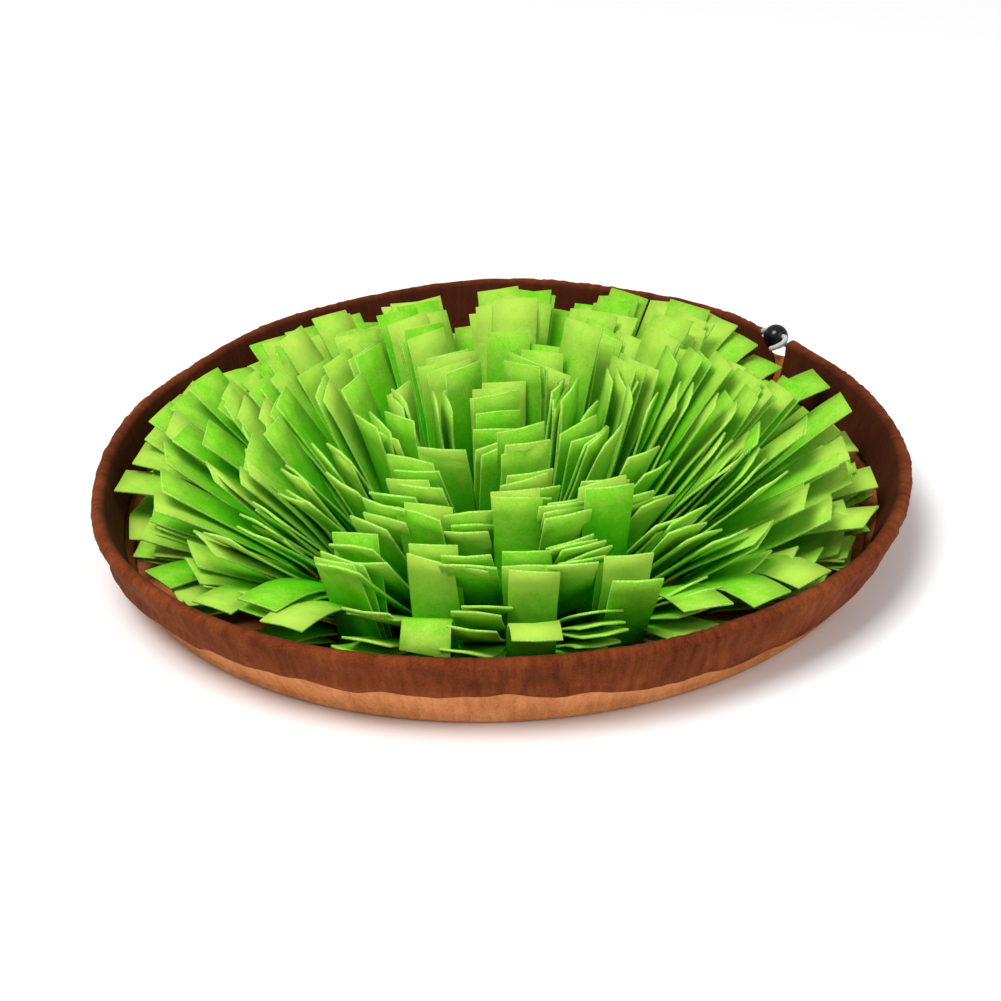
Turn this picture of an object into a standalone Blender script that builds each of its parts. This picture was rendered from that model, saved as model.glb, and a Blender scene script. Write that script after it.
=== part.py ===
"""Snuffle mat: a round cloth tray with a drawstring edge and a pile of felt strips.

Metres, +Z up, origin at the middle of the flat underside.
"""
import math
import random
from collections import namedtuple

import bmesh
import bpy
from mathutils import Matrix, Vector

MM = 0.001

# base cloth: a flat disc whose edge stands up as a low sloping wall
CLOTH = 2.5 * MM
FOOT_RADIUS = 199 * MM
BASE_RADIUS = 206 * MM
FLOOR_RADIUS = 197.5 * MM
CORNER_RADIUS = 204.4 * MM
CORNER_HEIGHT = 1 * MM
WALL_FOOT_HEIGHT = 4.5 * MM
WALL_INSIDE_FOOT = 0.04
WALL_LOW = 0.28
WALL_HIGH = 0.62
WALL_BULGE = 1.5 * MM
NOTCH_DIP = 0.13
NOTCH_REACH = 7

# edge band: a folded strip over the wall's top, with the drawstring in its fold
BAND_CLOTH = 1.5 * MM
LAYER_GAP = 0.8 * MM
CHANNEL_RADIUS = 2.3 * MM
CHANNEL_ABOVE_WALL = 2.8 * MM
OUTER_SEAM = 0.34
INNER_SEAM = 0.40
SEAM_WAVE = 0.055
PUCKER = 0.9 * MM
BAND_START = 43.3
BAND_END = 35.9 + 360
BAND_STATIONS = 58
NOTCH_STATIONS = (37.8, 40.4)
START_SLANT = 1.8
PUFF = 1.25
ROLL_OUTSIDE = (20, 65, 115, 160)
ROLL_INSIDE = (150, 90, 30)

# drawstring and its lock, with places round the lock's centre in millimetres
CORD = 3 * MM
LOCK_DIAMETER = 15 * MM
LOCK_AZIMUTH = 39.4
LOCK_RADIUS = 220.6 * MM
LOCK_HEIGHT = 48.5 * MM
LOCK_BORE = 4.0 * MM
BORE_SPACING = 4.5 * MM
BORE_INSET = 0.4 * MM
Place = namedtuple("Place", "along outward upward")
INNER_TAIL = (
    Place(-4.5, -9.2, -3.6), Place(-7.2, -8.4, -2.2), Place(-9.4, -6.4, -0.6),
    Place(-10.3, -3.8, 0.9), Place(-9.4, -1.4, 1.9), Place(-7.9, -0.4, 2.25),
)
INTO_EDGE = (Place(8.1, -0.4, 2.25), Place(11.9, -0.2, -0.3))
OUTER_TAIL = (Place(-7.9, -0.4, -2.25), Place(7.9, -0.4, -2.25), Place(9.9, -1.2, -2.6))

# felt strips, sewn through their roots in short stacks
STRIP_WIDTH = 25 * MM
FELT = 1.4 * MM
LAYER_SPACE = 0.8 * MM
TAPE_HEIGHT = 2 * MM
TAPE_MARGIN = 0.8 * MM
TAPE_REST = CLOTH + 0.35 * MM
FIRST_RISE = 3 * MM
PILE_CENTRE = Vector((0, -4 * MM))
DROOP = 6
UNEVEN = 0.12
YAW_UPRIGHT = 9
YAW_FLAT = 15
TWIST = 12
WALL_CLEARANCE = 203 * MM
TRIM_STEP = 1.5 * MM
LAYOUT = 45

# the edge as it stands, a row every 30 degrees: middle of the roll and its top
Edge = namedtuple("Edge", "radius top")
EDGE = (
    Edge(223.5, 44.0), Edge(220.0, 49.0), Edge(222.5, 54.0), Edge(228.0, 56.0),
    Edge(227.0, 52.5), Edge(220.5, 48.0), Edge(219.0, 45.5), Edge(224.5, 46.5),
    Edge(226.5, 48.5), Edge(223.5, 48.0), Edge(222.5, 45.0), Edge(224.5, 43.0),
)

# rings of stacks, from the middle out: leans are from upright, in degrees, and the last
# four columns say how much the combing, the lifts and the reaches below act on a ring
Ring = namedtuple("Ring", "radius stacks start pages pitch lean_in lean_out reach stray "
                          "pull lift_in lift_out short")
RINGS = (
    Ring(31, 5, 54.0, 4, 6.5, 2, 11, 84, 3, 0.0, 0.0, 0.0, 0.0),
    Ring(64, 11, 18.0, 5, 7.0, 15, 32, 92, 3, 0.4, 0.6, 0.6, 0.3),
    Ring(101, 18, 4.0, 6, 6.0, 35, 54, 94, 3, 0.7, 0.6, 0.6, 0.6),
    Ring(138, 21, 9.0, 5, 6.5, 60, 83, 74, 3, 1.0, 0.6, 0.3, 0.3),
)

# how the pile is combed round the tray, a row every 30 degrees
Sector = namedtuple("Sector", "turn lift reach")
SECTORS = (
    Sector(16, 1.00, 0.98), Sector(10, 0.96, 1.00), Sector(0, 0.86, 0.98), Sector(0, 0.80, 0.98),
    Sector(0, 0.86, 0.97), Sector(-4, 0.94, 0.99), Sector(-12, 1.00, 1.00), Sector(-18, 0.98, 0.97),
    Sector(-5, 0.76, 0.90), Sector(0, 0.60, 0.86), Sector(5, 0.74, 0.90), Sector(16, 0.97, 0.98),
)


def clear_scene():
    """Start from an empty scene."""
    for leftover in list(bpy.data.objects):
        bpy.data.objects.remove(leftover, do_unlink=True)


def make_material(name, colour, roughness, metallic=0.0):
    """A plain surface with the part's colour and gloss."""
    material = bpy.data.materials.new(name)
    material.use_nodes = True
    shader = material.node_tree.nodes["Principled BSDF"]
    shader.inputs["Base Color"].default_value = (*colour, 1.0)
    shader.inputs["Roughness"].default_value = roughness
    shader.inputs["Metallic"].default_value = metallic
    return material


def add_object(name, data, material):
    """Link a mesh or curve to the scene under its node's name."""
    data.materials.append(material)
    thing = bpy.data.objects.new(name, data)
    bpy.context.scene.collection.objects.link(thing)
    return thing


def finish_mesh(name, bm, material, smooth_angle=None):
    """Turn a bmesh into an object with its faces pointing out."""
    bmesh.ops.recalc_face_normals(bm, faces=bm.faces)
    mesh = bpy.data.meshes.new(name)
    bm.to_mesh(mesh)
    bm.free()
    if smooth_angle is not None:
        mesh.shade_smooth()
        mesh.set_sharp_from_angle(angle=math.radians(smooth_angle))
    return add_object(name, mesh, material)


def around(rows, field, azimuth):
    """Read one column of a table of equal sectors, eased between its rows."""
    place = (azimuth % 360) / 360 * len(rows)
    row = int(place)
    blend = place - row
    blend = blend * blend * (3 - 2 * blend)
    first = getattr(rows[row], field)
    second = getattr(rows[(row + 1) % len(rows)], field)
    return first + (second - first) * blend


def polar(azimuth, radius, height):
    """A point by its direction, its distance from the axis and its height."""
    angle = math.radians(azimuth)
    return Vector((radius * math.cos(angle), radius * math.sin(angle), height))


# ---------------------------------------------------------------- wall and edge

def channel_centre(azimuth):
    """Radius and height of the drawstring's middle, inside the edge's fold."""
    roll = CHANNEL_RADIUS + BAND_CLOTH
    return Vector((around(EDGE, "radius", azimuth) * MM, around(EDGE, "top", azimuth) * MM - roll))


def wall_top(azimuth):
    """Where the wall ends, as a share of its full length: it is drawn down under the cord lock."""
    away = abs((azimuth - LOCK_AZIMUTH + 180) % 360 - 180)
    if away > NOTCH_REACH:
        return 1.0
    return 1 - NOTCH_DIP * math.cos(away / NOTCH_REACH * math.pi / 2) ** 2


def wall_frame(azimuth):
    """Foot, top edge, upward direction and outward normal of the wall, as (radius, height)."""
    foot = Vector((BASE_RADIUS - CLOTH / 2, WALL_FOOT_HEIGHT))
    centre = channel_centre(azimuth)
    up = (centre - foot).normalized()
    out = Vector((up.y, -up.x))
    top = centre - up * CHANNEL_ABOVE_WALL
    return foot, top, up, out


def ripple(azimuth):
    """Uneven gathers of the drawn-in cloth, between -1 and 1."""
    angle = math.radians(azimuth)
    return 0.5 * math.sin(9 * angle + 0.6) + 0.3 * math.sin(14 * angle + 2.1) + 0.2 * math.sin(5 * angle)


def wall_point(azimuth, along, offset):
    """A point of the wall: along runs from its foot to its top, offset is outward."""
    foot, top, _, out = wall_frame(azimuth)
    bulge = WALL_BULGE * math.sin(math.pi * along) * (1 + 0.5 * ripple(azimuth))
    spot = foot + (top - foot) * along + out * (offset + bulge)
    return polar(azimuth, spot.x, spot.y)


def edge_stations():
    """Azimuths of the band's sections, which the wall and the drawstring share."""
    step = (BAND_END - BAND_START) / (BAND_STATIONS - 1)
    return [BAND_START + step * index for index in range(BAND_STATIONS)]


def join_loops(bm, loops, closed):
    """Bridge each loop of points to the next one with four-sided faces."""
    rows = [[bm.verts.new(point) for point in loop] for loop in loops]
    pairs = list(zip(rows, rows[1:]))
    if closed:
        pairs.append((rows[-1], rows[0]))
    for near, far in pairs:
        for index, corner in enumerate(near):
            after = (index + 1) % len(near)
            bm.faces.new((corner, near[after], far[after], far[index]))
    return rows


def build_base(material):
    """The base cloth: floor, rounded foot and sloping wall, in one piece."""
    azimuths = edge_stations() + [spot + 360 for spot in NOTCH_STATIONS]
    half = CLOTH / 2
    loops = []

    def level(point_at):
        loops.append([point_at(azimuth) for azimuth in azimuths])

    level(lambda azimuth: polar(azimuth, FOOT_RADIUS, 0))
    level(lambda azimuth: polar(azimuth, CORNER_RADIUS, CORNER_HEIGHT))
    level(lambda azimuth: wall_point(azimuth, 0, half))
    level(lambda azimuth: wall_point(azimuth, WALL_LOW, half))
    level(lambda azimuth: wall_point(azimuth, WALL_HIGH, half))
    level(lambda azimuth: wall_point(azimuth, wall_top(azimuth), half))
    level(lambda azimuth: wall_point(azimuth, wall_top(azimuth), -half))
    level(lambda azimuth: wall_point(azimuth, WALL_HIGH, -half))
    level(lambda azimuth: wall_point(azimuth, WALL_LOW, -half))
    level(lambda azimuth: wall_point(azimuth, WALL_INSIDE_FOOT, -half))
    level(lambda azimuth: polar(azimuth, FLOOR_RADIUS, CLOTH))

    bm = bmesh.new()
    rows = join_loops(bm, loops, closed=False)
    bm.faces.new(rows[0])
    bm.faces.new(rows[-1])
    return finish_mesh("base_cloth", bm, material, smooth_angle=35)


def band_section(index, azimuth):
    """The folded band's outline at one station, as a closed loop of points."""
    _, _, up, out = wall_frame(azimuth)
    centre = channel_centre(azimuth)
    wave = SEAM_WAVE * ripple(azimuth + 11)
    pucker = PUCKER * (0.5 + 0.5 * math.sin(index * 2.4 + 1.3 * ripple(azimuth)))
    inner_skin = CLOTH / 2 + LAYER_GAP
    outer_skin = inner_skin + BAND_CLOTH
    to_end = BAND_STATIONS - 1 - index
    puff = PUFF if to_end < 2 else 1.0
    lean = START_SLANT if index == 0 else 0.0

    def leg(along, offset):
        return wall_point(azimuth - lean * (1 - along), along, offset)

    def fold(radius, angle):
        turn = math.radians(angle)
        spot = centre + (out * math.cos(turn) + up * math.sin(turn)) * radius
        return polar(azimuth, spot.x, spot.y)

    seam = OUTER_SEAM + wave
    inner = INNER_SEAM + wave / 2
    roll = (CHANNEL_RADIUS + BAND_CLOTH) * puff
    return [
        leg(seam, outer_skin),
        leg((seam + 1) / 2, outer_skin + pucker),
        leg(1.0, outer_skin + pucker / 2),
        *[fold(roll, angle) for angle in ROLL_OUTSIDE],
        leg(1.0, -outer_skin),
        leg((inner + 1) / 2, -outer_skin - pucker / 2),
        leg(inner, -outer_skin),
        leg(inner, -inner_skin),
        leg((inner + 1) / 2, -inner_skin),
        leg(1.0, -inner_skin),
        *[fold(CHANNEL_RADIUS, angle) for angle in ROLL_INSIDE],
        leg(1.0, inner_skin),
        leg((seam + 1) / 2, inner_skin),
        leg(seam, inner_skin),
    ]


def build_band(material):
    """The edge band, open at the notch where the drawstring comes out."""
    loops = [band_section(index, azimuth) for index, azimuth in enumerate(edge_stations())]
    bm = bmesh.new()
    rows = join_loops(bm, loops, closed=False)
    bm.faces.new(rows[0])
    bm.faces.new(rows[-1])
    return finish_mesh("edge_band", bm, material, smooth_angle=50)


# ---------------------------------------------------------------- drawstring and lock

def lock_point(along, outward, upward):
    """A point by its millimetres from the lock's centre: along the edge, outward, up."""
    angle = math.radians(LOCK_AZIMUTH)
    radial = Vector((math.cos(angle), math.sin(angle), 0))
    tangent = Vector((-math.sin(angle), math.cos(angle), 0))
    centre = polar(LOCK_AZIMUTH, LOCK_RADIUS, LOCK_HEIGHT)
    return centre + (tangent * along + radial * outward + Vector((0, 0, upward))) * MM


def drawstring_route():
    """From the free end in front of the lock, through it, round the edge and back through it."""
    route = [lock_point(*spot) for spot in INNER_TAIL + INTO_EDGE]
    for azimuth in edge_stations():
        centre = channel_centre(azimuth)
        route.append(polar(azimuth, centre.x, centre.y))
    route += [lock_point(*spot) for spot in OUTER_TAIL]
    return route


def build_drawstring(material):
    """The drawstring, one round cord with its two ends through the lock."""
    curve = bpy.data.curves.new("drawstring", "CURVE")
    curve.dimensions = "3D"
    curve.bevel_depth = CORD / 2
    curve.bevel_resolution = 2
    curve.use_fill_caps = True
    route = drawstring_route()
    spline = curve.splines.new("POLY")
    spline.points.add(len(route) - 1)
    for point, place in zip(spline.points, route):
        point.co = (*place, 1.0)
    return add_object("drawstring", curve, material)


def build_lock(material):
    """The ball that clamps the drawstring, with a bore for each of its two ends."""
    bm = bmesh.new()
    bmesh.ops.create_uvsphere(bm, u_segments=18, v_segments=12, radius=LOCK_DIAMETER / 2)
    ball = finish_mesh("cord_lock", bm, material, smooth_angle=40)
    ball.location = lock_point(0, 0, 0)
    along = Matrix.Rotation(math.radians(LOCK_AZIMUTH), 4, "Z") @ Matrix.Rotation(math.radians(90), 4, "X")
    for side, label in ((1, "upper"), (-1, "lower")):
        bm = bmesh.new()
        bmesh.ops.create_cone(bm, cap_ends=True, segments=12, radius1=LOCK_BORE / 2,
                              radius2=LOCK_BORE / 2, depth=LOCK_DIAMETER * 1.5, matrix=along)
        cutter = finish_mesh("bore_" + label, bm, material)
        cutter.location = lock_point(0, -BORE_INSET / MM, side * BORE_SPACING / 2 / MM)
        cutter.hide_render = True
        cutter.display_type = "WIRE"
        bore = ball.modifiers.new("bore_" + label, "BOOLEAN")
        bore.operation = "DIFFERENCE"
        bore.object = cutter
    return ball


# ---------------------------------------------------------------- felt pile

Stack = namedtuple("Stack", "place face pages pitch lean_in lean_out reach")
Station = namedtuple("Station", "centre across normal")


def plan_stacks():
    """Where each stack of strips is sewn, which way it leans and how far."""
    stacks = []
    for ring_index, ring in enumerate(RINGS):
        draw = random.Random(LAYOUT * 10 + ring_index)
        for index in range(ring.stacks):
            azimuth = ring.start + 360 * index / ring.stacks
            turn = around(SECTORS, "turn", azimuth) * ring.pull
            lift = around(SECTORS, "lift", azimuth) - 1
            reach = ring.reach * MM * (1 + (around(SECTORS, "reach", azimuth) - 1) * ring.short)
            radius = ring.radius * MM + draw.uniform(-1, 1) * MM
            place = polar(azimuth, radius, 0).xy + PILE_CENTRE
            face = azimuth + turn + draw.uniform(-ring.stray, ring.stray)
            lean_in = ring.lean_in * (1 + lift * ring.lift_in)
            lean_out = ring.lean_out * (1 + lift * ring.lift_out)
            stacks.append(Stack(place, face, ring.pages, ring.pitch * MM, lean_in, lean_out, reach))
    return stacks


def page_stations(root, front, across, lean, reach, rise, yaw, twist):
    """The four cross-sections of one strip: root, bend, middle and tip."""
    up = Vector((0, 0, 1))
    turned = front * math.cos(yaw) + across * math.sin(yaw)
    turned_across = up.cross(turned)
    half = (reach - rise) / 2
    leans = (0.0, math.radians(lean + DROOP * 0.2), math.radians(lean + DROOP * 0.8))
    fronts = (front, turned, turned)
    runs = [way * math.sin(tilt) + up * math.cos(tilt) for way, tilt in zip(fronts, leans)]
    lengths = (rise, half, half)
    sides = (across, turned_across, turned_across)
    stations = [Station(root.copy(), across, front)]
    centre = root.copy()
    for index, run in enumerate(runs):
        centre = centre + run * lengths[index]
        ahead = runs[min(index + 1, 2)]
        tangent = (run + ahead).normalized()
        normal = sides[index].cross(tangent).normalized()
        mitre = max(0.3, math.cos(run.angle(ahead, 0.0) / 2))
        turn = twist * (0, 0.4, 1)[index]
        wide = sides[index] * math.cos(turn) + normal * math.sin(turn)
        thick = (normal * math.cos(turn) - sides[index] * math.sin(turn)) / mitre
        stations.append(Station(centre, wide, thick))
    return stations


def stack_pages(number, stack):
    """Every strip of one stack, from the innermost to the outermost."""
    draw = random.Random(LAYOUT * 100 + number)
    angle = math.radians(stack.face)
    front = Vector((math.cos(angle), math.sin(angle), 0))
    across = Vector((-math.sin(angle), math.cos(angle), 0))
    spread = (stack.lean_out - stack.lean_in) / (stack.pages - 1)
    stray = min(2.0, abs(spread) * 0.4)
    leans = []
    for index in range(stack.pages):
        leans.append(stack.lean_in + spread * index + draw.uniform(-1, 1) * stray)
    lifts = []
    for lean in leans:
        tilt = math.radians(max(lean, 1))
        lifts.append(max(0.0, (FELT + LAYER_SPACE) / math.sin(tilt) - stack.pitch / math.tan(tilt)))
    pages = []
    for index, lean in enumerate(leans):
        reach = stack.reach * (1 + draw.uniform(-UNEVEN, UNEVEN))
        rise = min(FIRST_RISE + sum(lifts[index + 1:]), reach / 2)
        flat = math.sin(math.radians(lean)) ** 2
        yaw = math.radians(YAW_UPRIGHT + (YAW_FLAT - YAW_UPRIGHT) * flat) * draw.uniform(-1, 1)
        twist = math.radians(draw.uniform(-TWIST, TWIST))
        offset = (index - (stack.pages - 1) / 2) * stack.pitch
        root = Vector((*stack.place, TAPE_REST + TAPE_HEIGHT)) + front * offset
        stations = page_stations(root, front, across, lean, reach, rise, yaw, twist)
        while stations[-1].centre.xy.length > WALL_CLEARANCE:
            reach -= TRIM_STEP
            stations = page_stations(root, front, across, lean, reach, rise, yaw, twist)
        pages.append(stations)
    return pages


def side_of(point, station):
    """Which corner of a cross-section a point is, as two signs."""
    away = point - station.centre
    return (1 if away.dot(station.across) > 0 else -1, 1 if away.dot(station.normal) > 0 else -1)


def grow_strip(bm, cell, stations):
    """Draw one strip out of its root on the tape, one length after another."""
    for before, after in zip(stations, stations[1:]):
        cell = bmesh.ops.extrude_discrete_faces(bm, faces=[cell])["faces"][0]
        for corner in cell.verts:
            wide, thick = side_of(corner.co, before)
            corner.co = (after.centre + after.across * wide * STRIP_WIDTH / 2
                         + after.normal * thick * FELT / 2)


def build_stack(number, stack, material):
    """One short tape with its strips, sewn together through their roots."""
    pages = stack_pages(number, stack)
    front = pages[0][0].normal
    across = pages[0][0].across
    base = Vector((*stack.place, TAPE_REST))
    half_length = (stack.pages - 1) / 2 * stack.pitch + FELT / 2 + TAPE_MARGIN
    cuts = [-half_length]
    for index in range(stack.pages):
        offset = (index - (stack.pages - 1) / 2) * stack.pitch
        cuts += [offset - FELT / 2, offset + FELT / 2]
    cuts.append(half_length)
    edge = across * STRIP_WIDTH / 2
    lift = Vector((0, 0, TAPE_HEIGHT))
    loops = []
    for cut in cuts:
        middle = base + front * cut
        loops.append([middle - edge, middle + edge, middle + edge + lift, middle - edge + lift])
    bm = bmesh.new()
    rows = join_loops(bm, loops, closed=False)
    bm.faces.new(rows[0])
    bm.faces.new(rows[-1])
    bmesh.ops.recalc_face_normals(bm, faces=bm.faces)
    for index, stations in enumerate(pages):
        near, far = rows[2 * index + 1], rows[2 * index + 2]
        root_corners = {near[2], near[3], far[2], far[3]}
        cell = next(face for face in near[2].link_faces if set(face.verts) == root_corners)
        grow_strip(bm, cell, stations)
    bmesh.ops.dissolve_limit(bm, angle_limit=math.radians(0.05), verts=bm.verts, edges=bm.edges)
    return finish_mesh("felt_stack_%02d" % (number + 1), bm, material)


# ---------------------------------------------------------------- the whole mat

clear_scene()
tan_suede = make_material("tan_suede", (0.42, 0.19, 0.085), 0.85)
brown_suede = make_material("brown_suede", (0.16, 0.055, 0.03), 0.8)
grey_cord = make_material("pale_grey_cord", (0.62, 0.58, 0.54), 0.75)
black_plastic = make_material("black_gloss_plastic", (0.012, 0.012, 0.014), 0.22)
green_felt = make_material("green_felt", (0.28, 0.66, 0.035), 0.9)

build_base(tan_suede)
build_band(brown_suede)
build_drawstring(grey_cord)
build_lock(black_plastic)
for stack_number, felt_stack in enumerate(plan_stacks()):
    build_stack(stack_number, felt_stack, green_felt)
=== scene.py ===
import math
import random
from collections import namedtuple

import bmesh
import bpy
from mathutils import Euler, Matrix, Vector, noise


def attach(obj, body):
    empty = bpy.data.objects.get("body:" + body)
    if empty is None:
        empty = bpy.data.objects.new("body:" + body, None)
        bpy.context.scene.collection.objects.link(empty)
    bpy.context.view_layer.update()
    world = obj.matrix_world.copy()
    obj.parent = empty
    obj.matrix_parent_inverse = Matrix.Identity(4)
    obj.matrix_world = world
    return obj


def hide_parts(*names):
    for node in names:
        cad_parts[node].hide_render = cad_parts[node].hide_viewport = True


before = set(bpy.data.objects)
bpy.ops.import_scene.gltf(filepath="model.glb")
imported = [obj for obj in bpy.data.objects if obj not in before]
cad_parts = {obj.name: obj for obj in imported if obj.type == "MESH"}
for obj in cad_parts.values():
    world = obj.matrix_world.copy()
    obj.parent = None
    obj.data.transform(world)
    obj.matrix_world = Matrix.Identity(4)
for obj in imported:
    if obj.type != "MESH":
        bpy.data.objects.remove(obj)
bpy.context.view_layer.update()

# ------------------------------------------------------------------ camera
# The camera looks down at the front of the mat from about a metre and a half away,
# turned a little, so that the mat's right side stands higher in the picture.
CAMERA_ELEVATION = math.radians(28)
CAMERA_DISTANCE = 1.45
CAMERA_ROLL = math.radians(-2.14)
FOCAL_LENGTH = 92.61
PICTURE_SHIFT = (0.0007, 0.0269)

camera_data = bpy.data.cameras.new("camera")
camera_data.lens = FOCAL_LENGTH
camera_data.sensor_width = 36
camera_data.shift_x, camera_data.shift_y = PICTURE_SHIFT
camera_data.clip_start = 0.05
camera_data.clip_end = 20
camera = bpy.data.objects.new("camera", camera_data)
bpy.context.scene.collection.objects.link(camera)
camera.location = (
    0, -CAMERA_DISTANCE * math.cos(CAMERA_ELEVATION), CAMERA_DISTANCE * math.sin(CAMERA_ELEVATION),
)
tilt = Euler((math.pi / 2 - CAMERA_ELEVATION, 0, 0)).to_matrix()
roll = Euler((0, 0, CAMERA_ROLL)).to_matrix()
camera.rotation_euler = (tilt @ roll).to_euler()
bpy.context.scene.camera = camera

# ------------------------------------------------------------------ drawstring
# A round braided cord of pale grey polyester, 3 mm thick. It runs once round the mat in the
# fold of the edge band, and both of its ends come out at the notch and pass through the lock.
MM = 0.001
CORD_DIAMETER = 3 * MM
CORD_COLOUR = (0.58, 0.55, 0.53)
CORD_SHADOW = (0.36, 0.33, 0.31)
BRAID_SCALE = 1100
BRAID_DEPTH = 0.3 * MM
BAND_START = 43.3
BAND_END = 35.9 + 360
EDGE_STATIONS = 58
ROLL_RADIUS = 3.8 * MM
LOCK_AZIMUTH = 39.4
LOCK_RADIUS = 220.6 * MM
LOCK_HEIGHT = 48.5 * MM

Edge = namedtuple("Edge", "radius top")
EDGE = (
    Edge(223.5, 44.0), Edge(220.0, 49.0), Edge(222.5, 54.0), Edge(228.0, 56.0),
    Edge(227.0, 52.5), Edge(220.5, 48.0), Edge(219.0, 45.5), Edge(224.5, 46.5),
    Edge(226.5, 48.5), Edge(223.5, 48.0), Edge(222.5, 45.0), Edge(224.5, 43.0),
)
Place = namedtuple("Place", "along outward upward")
INNER_TAIL = (
    Place(-4.5, -9.2, -3.6), Place(-7.2, -8.4, -2.2), Place(-9.4, -6.4, -0.6),
    Place(-10.3, -3.8, 0.9), Place(-9.4, -1.4, 1.9), Place(-7.9, -0.4, 2.25),
)
INTO_EDGE = (Place(8.1, -0.4, 2.25), Place(11.9, -0.2, -0.3))
OUTER_TAIL = (Place(-7.9, -0.4, -2.25), Place(7.9, -0.4, -2.25), Place(9.9, -1.2, -2.6))


def around(rows, field, azimuth):
    """Read one column of a table of equal sectors, eased between its rows."""
    place = (azimuth % 360) / 360 * len(rows)
    row = int(place)
    blend = place - row
    blend = blend * blend * (3 - 2 * blend)
    first = getattr(rows[row], field)
    second = getattr(rows[(row + 1) % len(rows)], field)
    return first + (second - first) * blend


def polar(azimuth, radius, height):
    """A point by its direction, its distance from the axis and its height."""
    angle = math.radians(azimuth)
    return Vector((radius * math.cos(angle), radius * math.sin(angle), height))


def roll_centre(azimuth):
    """Radius and height of the middle of the edge's fold."""
    height = around(EDGE, "top", azimuth) * MM - ROLL_RADIUS
    return Vector((around(EDGE, "radius", azimuth) * MM, height))


def lock_point(along, outward, upward):
    """A point by its millimetres from the lock's centre: along the edge, outward, up."""
    angle = math.radians(LOCK_AZIMUTH)
    radial = Vector((math.cos(angle), math.sin(angle), 0))
    tangent = Vector((-math.sin(angle), math.cos(angle), 0))
    centre = polar(LOCK_AZIMUTH, LOCK_RADIUS, LOCK_HEIGHT)
    return centre + (tangent * along + radial * outward + Vector((0, 0, upward))) * MM


def smooth_line(points, rounds):
    """Halve every length of a line and ease its corners, keeping both ends."""
    for _ in range(rounds):
        finer = [points[0]]
        for near, far in zip(points, points[1:]):
            finer += [(near + far) / 2, far]
        eased = [finer[0]]
        for before, here, after in zip(finer, finer[1:], finer[2:]):
            eased.append(here * 0.5 + (before + after) * 0.25)
        points = eased + [finer[-1]]
    return points


def new_material(name):
    """A material with only its shader and output, and the shader's node."""
    material = bpy.data.materials.new(name)
    material.use_nodes = True
    return material, material.node_tree.nodes["Principled BSDF"]


def new_node(material, kind, **values):
    """A shader node with the stated socket values, an underscore standing for a name's space."""
    node = material.node_tree.nodes.new("ShaderNode" + kind)
    for socket, value in values.items():
        node.inputs[socket.replace("_", " ")].default_value = value
    return node


def math_node(material, operation, value):
    """A sum with the stated value as its second number."""
    node = new_node(material, "Math")
    node.operation = operation
    node.inputs[1].default_value = value
    return node


def ramp_node(material, *stops):
    """A colour ramp through the stated pairs of place and colour."""
    ramp = new_node(material, "ValToRGB")
    elements = ramp.color_ramp.elements
    for element, (place, colour) in zip((elements[0], elements[1]), (stops[0], stops[-1])):
        element.position = place
        element.color = (*colour, 1)
    for place, colour in stops[1:-1]:
        elements.new(place).color = (*colour, 1)
    return ramp


def link_nodes(material, *pairs):
    """Join node outputs to inputs."""
    for output, target in pairs:
        material.node_tree.links.new(output, target)


def add_piece(name, data, *materials):
    """Put a mesh or curve in the scene as a piece that rides on the mat."""
    for material in materials:
        data.materials.append(material)
    piece = bpy.data.objects.new(name, data)
    bpy.context.scene.collection.objects.link(piece)
    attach(piece, "root")
    return piece


cord_material, cord_shader = new_material("braided_cord")
cord_shader.inputs["Roughness"].default_value = 0.75
cord_shader.inputs["Sheen Weight"].default_value = 0.3
coordinates = new_node(cord_material, "TexCoord")
strands = new_node(cord_material, "TexVoronoi", Scale=BRAID_SCALE)
braid = ramp_node(cord_material, (0.35, CORD_COLOUR), (1, CORD_SHADOW))
relief = new_node(cord_material, "Bump", Strength=0.6, Distance=BRAID_DEPTH)
relief.invert = True
link_nodes(
    cord_material,
    (coordinates.outputs["Object"], strands.inputs["Vector"]),
    (strands.outputs["Distance"], braid.inputs["Fac"]),
    (braid.outputs["Color"], cord_shader.inputs["Base Color"]),
    (strands.outputs["Distance"], relief.inputs["Height"]),
    (relief.outputs["Normal"], cord_shader.inputs["Normal"]),
)

edge_step = (BAND_END - BAND_START) / (EDGE_STATIONS - 1)
in_the_edge = []
for index in range(EDGE_STATIONS):
    azimuth = BAND_START + edge_step * index
    centre = roll_centre(azimuth)
    in_the_edge.append(polar(azimuth, centre.x, centre.y))
route = smooth_line([lock_point(*spot) for spot in INNER_TAIL], 2)
route += smooth_line([lock_point(*spot) for spot in INTO_EDGE] + in_the_edge[:2], 2)
route += in_the_edge[2:]
route += smooth_line([lock_point(*spot) for spot in OUTER_TAIL], 1)
cord_curve = bpy.data.curves.new("braided_drawstring", "CURVE")
cord_curve.dimensions = "3D"
cord_curve.bevel_depth = CORD_DIAMETER / 2
cord_curve.bevel_resolution = 3
cord_curve.use_fill_caps = True
cord_line = cord_curve.splines.new("POLY")
cord_line.points.add(len(route) - 1)
for point, spot in zip(cord_line.points, route):
    point.co = (*spot, 1)
drawstring = add_piece("braided_drawstring", cord_curve, cord_material)
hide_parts("drawstring")

# ------------------------------------------------------------------ cord lock
# A glossy black moulded ball, 15 mm across, with a bore for each end of the drawstring and
# a spring inside that clamps them. It hangs on the cord alone, in the notch of the edge.
BALL_RADIUS = 7.5 * MM
BORE_RADIUS = 2 * MM
BORE_OFFSET = 2.25 * MM
BORE_INSET = 0.4 * MM
LOCK_BLACK = (0.004, 0.004, 0.0045)

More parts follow.
